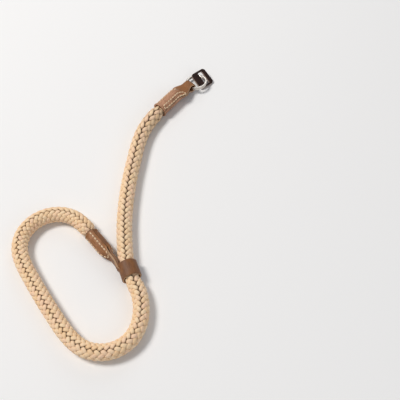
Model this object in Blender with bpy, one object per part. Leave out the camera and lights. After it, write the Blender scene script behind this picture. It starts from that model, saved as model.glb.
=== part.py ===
"""A braided rope strap with a running noose, lying at rest on a flat surface.

One soft braided rope carries a folded leather end piece at each end. The
piece at the ring end is one strip, folded through a split ring, whose two
halves cup the rope's end and meet in a flat tab. The piece at the noose end
cups the other rope end the same way and runs into a collar round the rope
itself, so that the rope slides through it and the loop draws tight. A small
leather guard pad is threaded on the ring through its slot.

Units are metres, +Z is up, and the origin is on the surface that the strap
lies on, under the middle of its outline.
"""

import math

import bmesh
import bpy
from mathutils import Matrix, Vector

MM = 0.001

# Rope: a soft braid that squeezes into its end pieces and its collar
ROPE_D = 10.0 * MM
RING_POCKET_ROPE_D = 6.8 * MM
NOOSE_POCKET_ROPE_D = 5.6 * MM
COLLAR_ROPE_D = 8.8 * MM
ROPE_SQUEEZE_RUN = 5.0 * MM
ROPE_STEP = 5.6 * MM
ROPE_LIFT = 0.02 * MM

# Leather and the clearance that everything soft keeps
LEATHER = 1.2 * MM
GAP = 0.3 * MM

# Both end pieces: each mouth flares over a short run
MOUTH_FLARE_RUN = 1.6 * MM

# Ring-end piece: past the rope's end it flattens into a tab and a fold
RING_FLATTEN_RUN = 8.4 * MM
RING_TAB_RUN = 6.8 * MM
RING_TAB_LEAD = 2.4 * MM
RING_MOUTH_FLARE = 0.4 * MM
RING_TAB_WIDTH = 11.6 * MM
RING_FOLD_WIDTH = 6.8 * MM
RING_EYE_OPEN_RUN = 4.5 * MM
RING_TAB_TURN = math.radians(-11.0)
RING_POCKET_ROLL = math.radians(18.6)
RING_EYE_ROLL = math.radians(8.0)
RING_EYE_CLEAR = 0.3 * MM

# Split ring: two turns of flat wire with a jog between them
RING_LINE_R = 6.9 * MM
RING_WIRE_WIDE = 1.2 * MM
RING_WIRE_THICK = 1.0 * MM
RING_WIRE_CHAMFER = 0.2 * MM
RING_TURN_GAP = 0.08 * MM
RING_JOG = math.radians(42.0)
RING_JOG_AT = math.radians(196.0)
RING_PITCH_DOWN = math.radians(2.8)

# Guard pad, threaded on the ring's far side through its slot
GUARD_FAR = 4.6 * MM
GUARD_EYE_GAP = 2.8 * MM
GUARD_WIDTH = 13.0 * MM
GUARD_THICK = 1.6 * MM
GUARD_CORNER = 2.2 * MM
GUARD_RIM = 0.25 * MM
GUARD_SLOT_END_EASE = 1.5 * MM
GUARD_SLOT_SIDE_EASE = 0.85 * MM
GUARD_SLOT_CORNER = 0.9 * MM
GUARD_REST = 0.1 * MM

# Noose-end piece: past the rope's end it flattens into the collar's neck
NOOSE_FLATTEN_RUN = 8.4 * MM
NOOSE_SEAT_IN = 1.0 * MM
NOOSE_NECK_WIDTH = 8.2 * MM
NOOSE_END_WIDTH = 6.0 * MM
NOOSE_MOUTH_FLARE = 0.3 * MM
NOOSE_POCKET_ROLL = math.radians(-67.0)
NOOSE_END_ROLL = math.radians(-90.0)

# Collar round the running rope
COLLAR_LENGTH = 10.6 * MM
COLLAR_FLAT = 0.3 * MM
COLLAR_EDGE = 0.35 * MM

# Where the layout's own origin lies in the part's frame
LAYOUT_X = 7.4 * MM
LAYOUT_Y = -33.0 * MM

# The rope's route seen from above, in layout millimetres, from the end in
# the ring-end piece round to the end in the noose-end piece
ROUTE_MM = [
    (25.8, 115.2),
    (21.1, 109.2),
    (16.5, 103.2),
    (10.6, 94.2),
    (6.0, 84.2),
    (3.2, 72.8),
    (1.5, 60.6),
    (0.0, 48.4),
    (-1.0, 36.2),
    (-1.4, 24.0),
    (-1.2, 12.0),
    (-0.3, 0.4),
    (0.9, -9.6),
    (2.5, -17.0),
    (6.4, -26.9),
    (11.0, -36.2),
    (12.9, -46.2),
    (11.9, -56.4),
    (7.4, -65.0),
    (-0.6, -70.4),
    (-10.2, -71.6),
    (-19.5, -68.6),
    (-28.0, -61.2),
    (-36.4, -50.6),
    (-44.8, -39.0),
    (-52.8, -27.2),
    (-59.6, -16.2),
    (-63.2, -7.0),
    (-63.0, 2.4),
    (-58.7, 10.6),
    (-51.2, 16.1),
    (-42.0, 17.8),
    (-32.9, 15.3),
    (-26.0, 9.6),
    (-20.7, 3.5),
    (-16.5, -1.4),
    (-12.3, -6.3),
]
RING_MOUTH_INDEX = 2
COLLAR_MOUTH_INDEX = 13
COLLAR_EXIT_INDEX = 14
NOOSE_MOUTH_INDEX = -3

# Facet counts and spacings
CURVE_STEPS = 24
STRIP_COLUMNS = 14
STRIP_STEP = 2.8 * MM
STRIP_FINE_STEP = 0.9 * MM
FOLD_STEP = math.radians(15.0)
COLLAR_SIDES = 40
RING_STEPS = 104
CORNER_STEPS = 6

# How far a cutter runs past the piece that it cuts
CUT_PAST = 2.0 * MM


def clear_scene():
    for obj in list(bpy.data.objects):
        bpy.data.objects.remove(obj, do_unlink=True)


def make_material(name, colour, roughness, metallic=0.0):
    mat = bpy.data.materials.new(name)
    mat.use_nodes = True
    shader = mat.node_tree.nodes["Principled BSDF"]
    shader.inputs["Base Color"].default_value = (*colour, 1.0)
    shader.inputs["Roughness"].default_value = roughness
    shader.inputs["Metallic"].default_value = metallic
    return mat


def ease(x):
    """A smooth step from 0 to 1."""
    x = min(1.0, max(0.0, x))
    return x * x * (3.0 - 2.0 * x)


def ease_between(s, start, end):
    return ease((s - start) / (end - start))


def mix(a, b, share):
    return a + (b - a) * share


def add_mesh(name, verts, faces, mat, origin=None):
    """A mesh object, with its origin moved to the given point."""
    origin = origin or Vector((0.0, 0.0, 0.0))
    mesh = bpy.data.meshes.new(name)
    mesh.from_pydata([Vector(v) - origin for v in verts], [], faces)
    bm = bmesh.new()
    bm.from_mesh(mesh)
    bmesh.ops.recalc_face_normals(bm, faces=bm.faces)
    bm.to_mesh(mesh)
    bm.free()
    mesh.shade_smooth()
    mesh.set_sharp_from_angle(angle=math.radians(40.0))
    mesh.materials.append(mat)
    obj = bpy.data.objects.new(name, mesh)
    obj.location = origin
    bpy.context.collection.objects.link(obj)
    return obj


def boolean(obj, other, operation):
    mod = obj.modifiers.new(operation.lower(), "BOOLEAN")
    mod.operation = operation
    mod.solver = "EXACT"
    mod.object = other
    other.hide_render = True
    other.display_type = "WIRE"


def apply_modifiers(obj):
    """Keeps the evaluated mesh, so that cutters can be removed."""
    graph = bpy.context.evaluated_depsgraph_get()
    mesh = bpy.data.meshes.new_from_object(obj.evaluated_get(graph))
    obj.modifiers.clear()
    obj.data = mesh


def curve_through(points, step):
    """Evenly spaced points on a smooth curve through the given ones."""
    ends = [2 * points[0] - points[1]] + points + [2 * points[-1] - points[-2]]
    fine = []
    for i in range(1, len(ends) - 2):
        p0, p1, p2, p3 = ends[i - 1 : i + 3]
        for k in range(CURVE_STEPS):
            t = k / CURVE_STEPS
            fine.append(
                0.5
                * (
                    2 * p1
                    + (p2 - p0) * t
                    + (2 * p0 - 5 * p1 + 4 * p2 - p3) * t * t
                    + (3 * p1 - p0 - 3 * p2 + p3) * t**3
                )
            )
    fine.append(points[-1])
    along = [0.0]
    for a, b in zip(fine, fine[1:]):
        along.append(along[-1] + (b - a).length)
    count = round(along[-1] / step)
    spaced, j = [], 0
    for i in range(count + 1):
        want = along[-1] * i / count
        while j < len(along) - 2 and along[j + 1] < want:
            j += 1
        share = (want - along[j]) / (along[j + 1] - along[j])
        spaced.append((fine[j].lerp(fine[j + 1], min(1.0, share)), want))
    return spaced, along[-1]


def nearest_along(spaced, point):
    """How far along the curve the point nearest to a given one lies."""
    return min(spaced, key=lambda p: (p[0] - point).length)[1]


# The places that the rope shares with its fittings

RING_POCKET_R = RING_POCKET_ROPE_D / 2 + GAP + LEATHER / 2
NOOSE_POCKET_R = NOOSE_POCKET_ROPE_D / 2 + GAP + LEATHER / 2
COLLAR_BORE_R = COLLAR_ROPE_D / 2 + GAP
COLLAR_R = COLLAR_BORE_R + LEATHER
COLLAR_HEIGHT = COLLAR_R - COLLAR_FLAT
RING_POCKET_HEIGHT = RING_POCKET_R + RING_MOUTH_FLARE + LEATHER / 2 + ROPE_LIFT
NOOSE_POCKET_HEIGHT = NOOSE_POCKET_R + NOOSE_MOUTH_FLARE + LEATHER / 2 + ROPE_LIFT
ROPE_HEIGHT = ROPE_D / 2 + ROPE_LIFT

# The ring where the fold holds it: two turns whose line bows across the fold
RING_STACK = 2 * RING_WIRE_THICK + RING_TURN_GAP


def sagitta(radius, half_chord):
    return radius - math.sqrt(radius**2 - half_chord**2)


RING_BOW = sagitta(RING_LINE_R, RING_FOLD_WIDTH / 2) / 2
RING_HINGE_R = RING_LINE_R - RING_BOW
EYE_BORE_R = math.hypot(RING_WIRE_WIDE / 2, RING_STACK / 2) + RING_BOW + GAP
EYE_R = EYE_BORE_R + LEATHER / 2
EYE_HEIGHT = EYE_R + LEATHER / 2 + RING_EYE_CLEAR + RING_FOLD_WIDTH / 2 * math.sin(RING_EYE_ROLL)


def route_point(index, height=0.0):
    """A point of the rope's route, at a height above the surface."""
    x, y = ROUTE_MM[index]
    return Vector((x * MM + LAYOUT_X, y * MM + LAYOUT_Y, height))


def build_rope(mat):
    route = [route_point(i) for i in range(len(ROUTE_MM))]
    spaced, length = curve_through(route, ROPE_STEP)
    fine, _ = curve_through(route, 0.5 * MM)
    ring_mouth = nearest_along(fine, route_point(RING_MOUTH_INDEX))
    noose_mouth = nearest_along(fine, route_point(NOOSE_MOUTH_INDEX))
    collar_in = nearest_along(fine, route_point(COLLAR_MOUTH_INDEX))
    collar_out = nearest_along(fine, route_point(COLLAR_EXIT_INDEX))
    run = ROPE_SQUEEZE_RUN

    def height_and_radius(s):
        """The rope lies on the surface, and is squeezed in its fittings."""
        in_ring = 1.0 - ease_between(s, ring_mouth, ring_mouth + run)
        in_noose = ease_between(s, noose_mouth - run, noose_mouth)
        entering = ease_between(s, collar_in - run, collar_in)
        in_collar = min(entering, 1.0 - ease_between(s, collar_out, collar_out + run))
        height, radius = ROPE_HEIGHT, ROPE_D / 2
        for share, fitting_height, squeezed in (
            (in_ring, RING_POCKET_HEIGHT, RING_POCKET_ROPE_D / 2),
            (in_noose, NOOSE_POCKET_HEIGHT, NOOSE_POCKET_ROPE_D / 2),
            (in_collar, COLLAR_HEIGHT, COLLAR_ROPE_D / 2),
        ):
            height += share * (fitting_height - ROPE_HEIGHT)
            radius += share * (squeezed - ROPE_D / 2)
        return height, radius

    marks = {round(s, 6) for _, s in spaced}
    for s in (ring_mouth, noose_mouth, collar_in, collar_out):
        marks.add(round(s, 6))
    curve = bpy.data.curves.new("rope", "CURVE")
    curve.dimensions = "3D"
    curve.bevel_depth = ROPE_D / 2
    curve.bevel_resolution = 4
    curve.use_fill_caps = True
    spline = curve.splines.new("POLY")
    stations = [min(fine, key=lambda p: abs(p[1] - s)) for s in sorted(marks)]
    kept = [stations[0]]
    for station in stations[1:]:
        if station[1] - kept[-1][1] > ROPE_STEP / 4:
            kept.append(station)
    kept[-1] = stations[-1]
    spline.points.add(len(kept) - 1)
    for point, (place, s) in zip(spline.points, kept):
        height, radius = height_and_radius(s)
        point.co = (place.x, place.y, height, 1.0)
        point.radius = radius / (ROPE_D / 2)
    obj = bpy.data.objects.new("rope", curve)
    curve.materials.append(mat)
    bpy.context.collection.objects.link(obj)
    return obj, length


def side_frame(heading, roll):
    """Lateral and normal directions of a strip that runs along a heading."""
    right = Vector((heading.y, -heading.x, 0.0))
    up = Vector((0.0, 0.0, 1.0))
    lateral = math.cos(roll) * right + math.sin(roll) * up
    normal = -math.sin(roll) * right + math.cos(roll) * up
    return lateral, normal


def strip_row(centre, lateral, normal, width, bend, side, lift=0.0):
    """Places and normals across one cupped station of a leather strip.

    bend is the section's curvature, and side is +1 for the upper half and
    -1 for the lower one. The edges of the two halves stay GAP apart.
    """
    half = width / 2
    edge_angle = bend * half
    sag = (1.0 - math.cos(edge_angle)) / bend if bend > 1.0 else 0.0
    rise = GAP / 2 + LEATHER / 2 * math.cos(edge_angle) + sag + lift
    row = []
    for k in range(STRIP_COLUMNS + 1):
        v = mix(-half, half, k / STRIP_COLUMNS)
        angle = bend * v
        y = math.sin(angle) / bend if bend > 1.0 else v
        z = rise - ((1.0 - math.cos(angle)) / bend if bend > 1.0 else 0.0)
        out = lateral * math.sin(angle) + normal * side * math.cos(angle)
        row.append((centre + lateral * y + normal * side * z, out))
    return row


def strip_mesh(rows):
    """A closed sheet of LEATHER thickness over rows of (place, normal)."""
    verts, faces = [], []
    columns = len(rows[0])
    for row in rows:
        verts += [p + n * (LEATHER / 2) for p, n in row]
    for row in rows:
        verts += [p - n * (LEATHER / 2) for p, n in row]
    layer = len(rows) * columns

    def at(i, j, under):
        return i * columns + j + (layer if under else 0)

    for i in range(len(rows) - 1):
        for j in range(columns - 1):
            faces.append((at(i, j, 0), at(i + 1, j, 0), at(i + 1, j + 1, 0), at(i, j + 1, 0)))
            faces.append((at(i, j, 1), at(i, j + 1, 1), at(i + 1, j + 1, 1), at(i + 1, j, 1)))
        for j in (0, columns - 1):
            faces.append((at(i, j, 0), at(i, j, 1), at(i + 1, j, 1), at(i + 1, j, 0)))
    for i in (0, len(rows) - 1):
        for j in range(columns - 1):
            faces.append((at(i, j, 0), at(i, j + 1, 0), at(i, j + 1, 1), at(i, j, 1)))
    return verts, faces


def spread(start, end, step):
    """Evenly spaced values from start to end, about a step apart."""
    count = max(1, math.ceil((end - start) / step))
    return [mix(start, end, i / count) for i in range(count + 1)]


class RingEnd:
    """The path, widths and bends of the ring-end strip."""

    mouth = route_point(RING_MOUTH_INDEX)
    heading = (route_point(0) - mouth).normalized()
    rope_end = (route_point(0) - mouth).length + GAP
    tab_start = rope_end + RING_FLATTEN_RUN
    eye_at = tab_start + RING_TAB_RUN

    @classmethod
    def station(cls, s):
        """(centre, heading) at a distance from the mouth."""
        place = cls.mouth + cls.heading * min(s, cls.rope_end)
        heading = cls.heading.copy()
        rest = max(0.0, s - cls.rope_end) / CURVE_STEPS
        for _ in range(CURVE_STEPS):
            turn = RING_TAB_TURN * rest / (cls.eye_at - cls.rope_end)
            heading.rotate(Matrix.Rotation(turn, 3, "Z"))
            place = place + heading * rest
        drop = ease_between(s, cls.rope_end, cls.eye_at)
        place.z = mix(RING_POCKET_HEIGHT, EYE_HEIGHT, drop)
        return place, heading

    @classmethod
    def row(cls, s, side):
        place, heading = cls.station(s)
        flat = ease_between(s, cls.rope_end, cls.tab_start)
        flare = RING_MOUTH_FLARE * (1.0 - ease(s / MOUTH_FLARE_RUN))
        radius = RING_POCKET_R + flare
        bend = (1.0 - flat) / radius
        width = mix(math.pi * radius - GAP, RING_TAB_WIDTH, flat)
        narrow = ease_between(s, cls.tab_start - RING_TAB_LEAD, cls.eye_at)
        width = mix(width, RING_FOLD_WIDTH, narrow)
        roll = mix(RING_POCKET_ROLL, RING_EYE_ROLL, flat)
        lateral, normal = side_frame(heading, roll)
        lift = ease_between(s, cls.eye_at - RING_EYE_OPEN_RUN, cls.eye_at)
        lift *= EYE_R - (LEATHER + GAP) / 2
        return strip_row(place, lateral, normal, width, bend, side, lift)

    @classmethod
    def fold_row(cls, angle):
        """A row of the fold round the ring, from 0 above to pi below."""
        place, heading = cls.station(cls.eye_at)
        lateral, normal = side_frame(heading, RING_EYE_ROLL)
        out = heading * math.sin(angle) + normal * math.cos(angle)
        half = RING_FOLD_WIDTH / 2
        ys = [mix(-half, half, k / STRIP_COLUMNS) for k in range(STRIP_COLUMNS + 1)]
        return [(place + out * EYE_R + lateral * y, out) for y in ys]


def build_ring_end(mat):
    marks = spread(0.0, MOUTH_FLARE_RUN, STRIP_FINE_STEP)
    marks += spread(MOUTH_FLARE_RUN, RingEnd.rope_end, STRIP_STEP)[1:]
    marks += spread(RingEnd.rope_end, RingEnd.eye_at, STRIP_FINE_STEP)[1:]
    rows = [RingEnd.row(s, 1) for s in marks]
    rows += [RingEnd.fold_row(a) for a in spread(0.0, math.pi, FOLD_STEP)[1:-1]]
    rows += [RingEnd.row(s, -1) for s in reversed(marks)]
    verts, faces = strip_mesh(rows)
    return add_mesh("ring_end_leather", verts, faces, mat)


class NooseEnd:
    """The path, widths and bends of the noose-end halves."""

    mouth = route_point(NOOSE_MOUTH_INDEX)
    heading = (route_point(-1) - mouth).normalized()
    rope_end = (route_point(-1) - mouth).length + GAP
    neck_start = rope_end + NOOSE_FLATTEN_RUN
    collar_mouth = route_point(COLLAR_MOUTH_INDEX, COLLAR_HEIGHT)
    collar_exit = route_point(COLLAR_EXIT_INDEX, COLLAR_HEIGHT)
    collar_axis = (collar_exit - collar_mouth).normalized()
    beside = Vector((collar_axis.y, -collar_axis.x, 0.0))
    straight_end = mouth + heading * rope_end
    seat = collar_mouth + collar_axis * NOOSE_SEAT_IN + beside * (COLLAR_R - LEATHER / 2)
    neck_run = (seat - straight_end).to_2d().length
    end = rope_end + neck_run

    @classmethod
    def station(cls, s):
        """(centre, heading): straight, then a bend into the collar's wall."""
        place = cls.mouth + cls.heading * min(s, cls.rope_end)
        heading = cls.heading
        t = max(0.0, s - cls.rope_end) / cls.neck_run
        if t > 0.0:
            a, d = cls.straight_end, cls.seat
            b = a + cls.heading * cls.neck_run / 3
            c = d - cls.collar_axis * cls.neck_run / 3
            u = 1.0 - t
            place = u**3 * a + 3 * u * u * t * b + 3 * u * t * t * c + t**3 * d
            heading = u * u * (b - a) + 2 * u * t * (c - b) + t * t * (d - c)
            heading = Vector((heading.x, heading.y, 0.0)).normalized()
        place.z = mix(NOOSE_POCKET_HEIGHT, COLLAR_HEIGHT, ease(t))
        return place, heading

    @classmethod
    def row(cls, s, side):
        place, heading = cls.station(s)
        flat = ease_between(s, cls.rope_end, cls.neck_start)
        flare = NOOSE_MOUTH_FLARE * (1.0 - ease(s / MOUTH_FLARE_RUN))
        radius = NOOSE_POCKET_R + flare
        bend = (1.0 - flat) / radius
        width = mix(math.pi * radius - GAP, NOOSE_NECK_WIDTH, flat)
        narrow = ease_between(s, cls.neck_start, cls.end)
        width = mix(width, NOOSE_END_WIDTH, narrow)
        roll = mix(NOOSE_POCKET_ROLL, NOOSE_END_ROLL, flat)
        lateral, normal = side_frame(heading, roll)
        return strip_row(place, lateral, normal, width, bend, side)


def half_strip(name, side, mat):
    marks = spread(0.0, MOUTH_FLARE_RUN, STRIP_FINE_STEP)
    marks += spread(MOUTH_FLARE_RUN, NooseEnd.rope_end, STRIP_STEP)[1:]
    marks += spread(NooseEnd.rope_end, NooseEnd.end, STRIP_FINE_STEP)[1:]
    verts, faces = strip_mesh([NooseEnd.row(s, side) for s in marks])
    return add_mesh(name, verts, faces, mat)


def lathe_along(name, axis_start, axis, profile, mat, sides):
    """A closed turned solid: profile is (distance along axis, radius)."""
    side = Vector((0.0, 0.0, 1.0))
    across = axis.cross(side).normalized()
    verts, faces = [], []
    for t, r in profile:
        for k in range(sides):
            a = 2 * math.pi * k / sides
            out = side * math.cos(a) + across * math.sin(a)
            verts.append(axis_start + axis * t + out * r)
    for i in range(len(profile) - 1):
        for k in range(sides):
            n = (k + 1) % sides
            faces.append((i * sides + k, i * sides + n, (i + 1) * sides + n, (i + 1) * sides + k))
    faces.append(tuple(range(sides)))
    faces.append(tuple((len(profile) - 1) * sides + k for k in range(sides)))
    return add_mesh(name, verts, faces, mat)


def build_noose_end(mat):
    start = NooseEnd.collar_mouth
    axis = NooseEnd.collar_axis
    long, edge = COLLAR_LENGTH, COLLAR_EDGE
    outer = [
        (0.0, COLLAR_R - edge),
        (edge, COLLAR_R),
        (long - edge, COLLAR_R),
        (long, COLLAR_R - edge),
    ]
    obj = lathe_along("noose_end_leather", start, axis, outer, mat, COLLAR_SIDES)
    outer_half = half_strip("outer_half", 1, mat)
    inner_half = half_strip("inner_half", -1, mat)
    rope_clear = ROPE_D / 2 + GAP
    bore = [
        (-2 * ROPE_SQUEEZE_RUN, rope_clear),
        (-ROPE_SQUEEZE_RUN / 2, rope_clear),
        (0.0, COLLAR_BORE_R),
        (long + CUT_PAST, COLLAR_BORE_R),
    ]
    bore_tool = lathe_along("bore_tool", start, axis, bore, mat, COLLAR_SIDES)
    boolean(obj, outer_half, "UNION")
    boolean(obj, inner_half, "UNION")
    boolean(obj, bore_tool, "DIFFERENCE")
    size = 2 * COLLAR_R
    floor_verts = [
        start + Vector((x * size * 2, y * size * 2, -start.z - (0.0 if z else size)))
        for x in (-1, 1)
        for y in (-1, 1)
        for z in (0, 1)
    ]
    floor_faces = [
        (0, 1, 3, 2),
        (4, 6, 7, 5),
        (0, 4, 5, 1),
        (2, 3, 7, 6),
        (0, 2, 6, 4),
        (1, 5, 7, 3),
    ]
    flat_tool = add_mesh("flat_tool", floor_verts, floor_faces, mat)
    boolean(obj, flat_tool, "DIFFERENCE")
    apply_modifiers(obj)
    for tool in (outer_half, inner_half, bore_tool, flat_tool):
        bpy.data.objects.remove(tool, do_unlink=True)
    return obj


class RingPlace:
    """The ring's hinge axis, centre and directions at rest."""

    eye, heading = RingEnd.station(RingEnd.eye_at)
    lateral, upright = side_frame(heading, RING_EYE_ROLL)
    away = (heading * math.cos(RING_PITCH_DOWN) - upright * math.sin(RING_PITCH_DOWN)).normalized()
    normal = lateral.cross(away).normalized()
    centre = eye + away * RING_HINGE_R


def build_split_ring(mat):
    """Two stacked turns of flat wire, stepping up over a short jog."""
    pitch = RING_WIRE_THICK + RING_TURN_GAP
    wide, thick = RING_WIRE_WIDE / 2, RING_WIRE_THICK / 2
    cut = RING_WIRE_CHAMFER
    section = [
        (wide, -thick + cut),
        (wide, thick - cut),
        (wide - cut, thick),
        (-wide + cut, thick),
        (-wide, thick - cut),
        (-wide, -thick + cut),
        (-wide + cut, -thick),
        (wide - cut, -thick),
    ]
    verts, faces = [], []
    start, end = RING_JOG, 4 * math.pi
    for i in range(RING_STEPS + 1):
        turn = mix(start, end, i / RING_STEPS)
        level = mix(-pitch / 2, pitch / 2, ease_between(turn, 2 * math.pi, 2 * math.pi + RING_JOG))
        angle = turn + RING_JOG_AT
        out = RingPlace.away * math.cos(angle) + RingPlace.lateral * math.sin(angle)
        for r, z in section:
            place = RingPlace.centre + out * (RING_LINE_R + r)
            verts.append(place + RingPlace.normal * (z + level))
    n = len(section)
    for i in range(RING_STEPS):
        for k in range(n):
            m = (k + 1) % n
            faces.append((i * n + k, i * n + m, (i + 1) * n + m, (i + 1) * n + k))
    faces.append(tuple(range(n)))
    faces.append(tuple(RING_STEPS * n + k for k in range(n)))
    return add_mesh("split_ring", verts, faces, mat, RingPlace.eye)


def rounded_outline(x0, x1, y0, y1, corner):
    """A rectangle's outline with round corners, anticlockwise."""
    points = []
    corners = (
        (x1 - corner, y1 - corner, 0),
        (x0 + corner, y1 - corner, 1),
        (x0 + corner, y0 + corner, 2),
        (x1 - corner, y0 + corner, 3),
    )
    for cx, cy, quarter in corners:
        for k in range(CORNER_STEPS + 1):
            a = math.pi / 2 * (quarter + k / CORNER_STEPS)
            points.append((cx + corner * math.cos(a), cy + corner * math.sin(a)))
    return points


def prism(name, outline, half, edge, frame, mat, origin=None):
    """A plate on an outline, with its rim eased, placed by a frame."""
    place, along, across, normal = frame
    cx = sum(p[0] for p in outline) / len(outline)
    cy = sum(p[1] for p in outline) / len(outline)
    span = max(p[0] for p in outline) - cx
    levels = [(-half, edge), (-half + edge, 0.0), (half - edge, 0.0), (half, edge)]
    if edge == 0.0:
        levels = [(-half, 0.0), (half, 0.0)]
    verts, faces, n = [], [], len(outline)
    for z, inset in levels:
        k = 1.0 - inset / span
        for x, y in outline:
            verts.append(place + along * (cx + (x - cx) * k) + across * (cy + (y - cy) * k) + normal * z)
    for i in range(len(levels) - 1):
        for k in range(n):
            m = (k + 1) % n
            faces.append((i * n + k, i * n + m, (i + 1) * n + m, (i + 1) * n + k))
    faces.append(tuple(range(n)))
    faces.append(tuple((len(levels) - 1) * n + k for k in range(n)))
    return add_mesh(name, verts, faces, mat, origin)


def build_guard(mat):
    """The pad lies across the ring, one half over it and the other under.

    It leans until its lower edge rests on the surface, and its slot is as
    long and as wide as the two turns need where they cross its thickness.
    """
    half_width, half_thick = GUARD_WIDTH / 2, GUARD_THICK / 2
    far = RingPlace.centre + RingPlace.away * RING_LINE_R
    lean = RING_EYE_ROLL + math.asin((far.z - half_thick - GUARD_REST) / half_width)
    turned = Matrix.Rotation(lean, 3, RingPlace.away)
    across = turned @ RingPlace.lateral
    normal = turned @ RingPlace.normal
    frame = (far, RingPlace.away, across, normal)
    near = RING_LINE_R + RING_HINGE_R - EYE_R - LEATHER / 2 - GUARD_EYE_GAP
    outline = rounded_outline(-near, GUARD_FAR, -half_width, half_width, GUARD_CORNER)
    obj = prism("guard_pad", outline, half_thick, GUARD_RIM, frame, mat, RingPlace.centre)
    reach = (RING_STACK / 2 + half_thick * math.cos(lean)) / math.sin(lean)
    bow = sagitta(RING_LINE_R, reach * math.cos(lean))
    half_long = reach + GUARD_SLOT_END_EASE
    half_wide = (RING_WIRE_WIDE + bow) / 2 + GUARD_SLOT_SIDE_EASE
    middle = -bow / 2
    slot = rounded_outline(
        middle - half_wide, middle + half_wide, -half_long, half_long, GUARD_SLOT_CORNER
    )
    tool = prism("slot_tool", slot, half_thick + CUT_PAST, 0.0, frame, mat)
    boolean(obj, tool, "DIFFERENCE")
    apply_modifiers(obj)
    bpy.data.objects.remove(tool, do_unlink=True)
    return obj


clear_scene()
rope_material = make_material("braided_cotton", (0.80, 0.58, 0.36), 0.85)
leather_material = make_material("tan_leather", (0.30, 0.15, 0.075), 0.55)
steel_material = make_material("nickel_steel", (0.72, 0.66, 0.60), 0.25, 1.0)
guard_material = make_material("dark_leather", (0.035, 0.015, 0.011), 0.6)
build_rope(rope_material)
build_ring_end(leather_material)
build_noose_end(leather_material)
build_split_ring(steel_material)
build_guard(guard_material)
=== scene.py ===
import copy
import math

import bmesh
import bpy
from mathutils import Matrix, Vector, noise


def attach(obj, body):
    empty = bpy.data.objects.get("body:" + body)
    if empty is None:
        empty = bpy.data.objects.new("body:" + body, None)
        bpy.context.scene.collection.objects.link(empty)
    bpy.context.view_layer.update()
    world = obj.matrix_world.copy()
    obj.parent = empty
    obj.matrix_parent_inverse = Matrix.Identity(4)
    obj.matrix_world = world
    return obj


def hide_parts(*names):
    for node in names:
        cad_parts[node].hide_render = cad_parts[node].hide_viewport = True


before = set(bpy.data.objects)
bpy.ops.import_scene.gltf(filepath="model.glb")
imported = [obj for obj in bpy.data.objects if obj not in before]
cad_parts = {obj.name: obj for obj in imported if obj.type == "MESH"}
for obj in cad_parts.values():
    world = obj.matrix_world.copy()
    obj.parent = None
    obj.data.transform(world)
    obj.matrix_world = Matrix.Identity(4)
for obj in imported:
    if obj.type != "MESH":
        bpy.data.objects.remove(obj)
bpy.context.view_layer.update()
scene = bpy.context.scene

# The picture is taken from above, with the noose nearest and the ring far off.
# The strap can't stand, so it lies on its side as it would come to rest.

VIEW_FROM = (0.0643, -0.2330, 0.357)
VIEW_ELEVATION = math.radians(57.0)
VIEW_LENS = 59.5
VIEW_SENSOR = 36.0
VIEW_SHIFT = -0.045
VIEW_NEAREST = 0.01

view_data = bpy.data.cameras.new("view")
view_data.lens = VIEW_LENS
view_data.sensor_width = VIEW_SENSOR
view_data.shift_x = VIEW_SHIFT
view_data.clip_start = VIEW_NEAREST
view = bpy.data.objects.new("view", view_data)
view.location = VIEW_FROM
view.rotation_euler = (math.pi / 2 - VIEW_ELEVATION, 0.0, 0.0)
scene.collection.objects.link(view)
scene.camera = view
scene.view_settings.view_transform = "Standard"

# The rope is a round braid of soft cotton strands round a core. Twelve ribs
# of strands run along it, each leaning against the next, so that a dark zigzag
# shows between two ribs; painted shade darkens it further, and the gaps between
# strands too. It is squeezed thin where a leather piece holds it.

MM = 0.001
LAYOUT_X = 7.4 * MM
LAYOUT_Y = -33.0 * MM
ROUTE_MM = [
    (25.8, 115.2), (21.1, 109.2), (16.5, 103.2), (10.6, 94.2), (6.0, 84.2), (3.2, 72.8),
    (1.5, 60.6), (0.0, 48.4), (-1.0, 36.2), (-1.4, 24.0), (-1.2, 12.0), (-0.3, 0.4),
    (0.9, -9.6), (2.5, -17.0), (6.4, -26.9), (11.0, -36.2), (12.9, -46.2), (11.9, -56.4),
    (7.4, -65.0), (-0.6, -70.4), (-10.2, -71.6), (-19.5, -68.6), (-28.0, -61.2),
    (-36.4, -50.6), (-44.8, -39.0), (-52.8, -27.2), (-59.6, -16.2), (-63.2, -7.0),
    (-63.0, 2.4), (-58.7, 10.6), (-51.2, 16.1), (-42.0, 17.8), (-32.9, 15.3),
    (-26.0, 9.6), (-20.7, 3.5), (-16.5, -1.4), (-12.3, -6.3),
]
RING_MOUTH_INDEX = 2
COLLAR_MOUTH_INDEX = 13
COLLAR_EXIT_INDEX = 14
NOOSE_MOUTH_INDEX = -3

ROPE_D = 10.0 * MM
RING_POCKET_ROPE_D = 6.8 * MM
NOOSE_POCKET_ROPE_D = 5.6 * MM
COLLAR_ROPE_D = 8.8 * MM
ROPE_SQUEEZE_RUN = 5.0 * MM
ROPE_LIFT = 0.02 * MM
LEATHER = 1.2 * MM
GAP = 0.3 * MM
RING_MOUTH_FLARE = 0.4 * MM
NOOSE_MOUTH_FLARE = 0.3 * MM
COLLAR_FLAT = 0.3 * MM

RING_POCKET_R = RING_POCKET_ROPE_D / 2 + GAP + LEATHER / 2
NOOSE_POCKET_R = NOOSE_POCKET_ROPE_D / 2 + GAP + LEATHER / 2
COLLAR_BORE_R = COLLAR_ROPE_D / 2 + GAP
COLLAR_R = COLLAR_BORE_R + LEATHER
COLLAR_HEIGHT = COLLAR_R - COLLAR_FLAT
RING_POCKET_HEIGHT = RING_POCKET_R + RING_MOUTH_FLARE + LEATHER / 2 + ROPE_LIFT
NOOSE_POCKET_HEIGHT = NOOSE_POCKET_R + NOOSE_MOUTH_FLARE + LEATHER / 2 + ROPE_LIFT
ROPE_HEIGHT = ROPE_D / 2 + ROPE_LIFT

LINE_STEP = 1.0 * MM
CURVE_STEPS = 24


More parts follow.
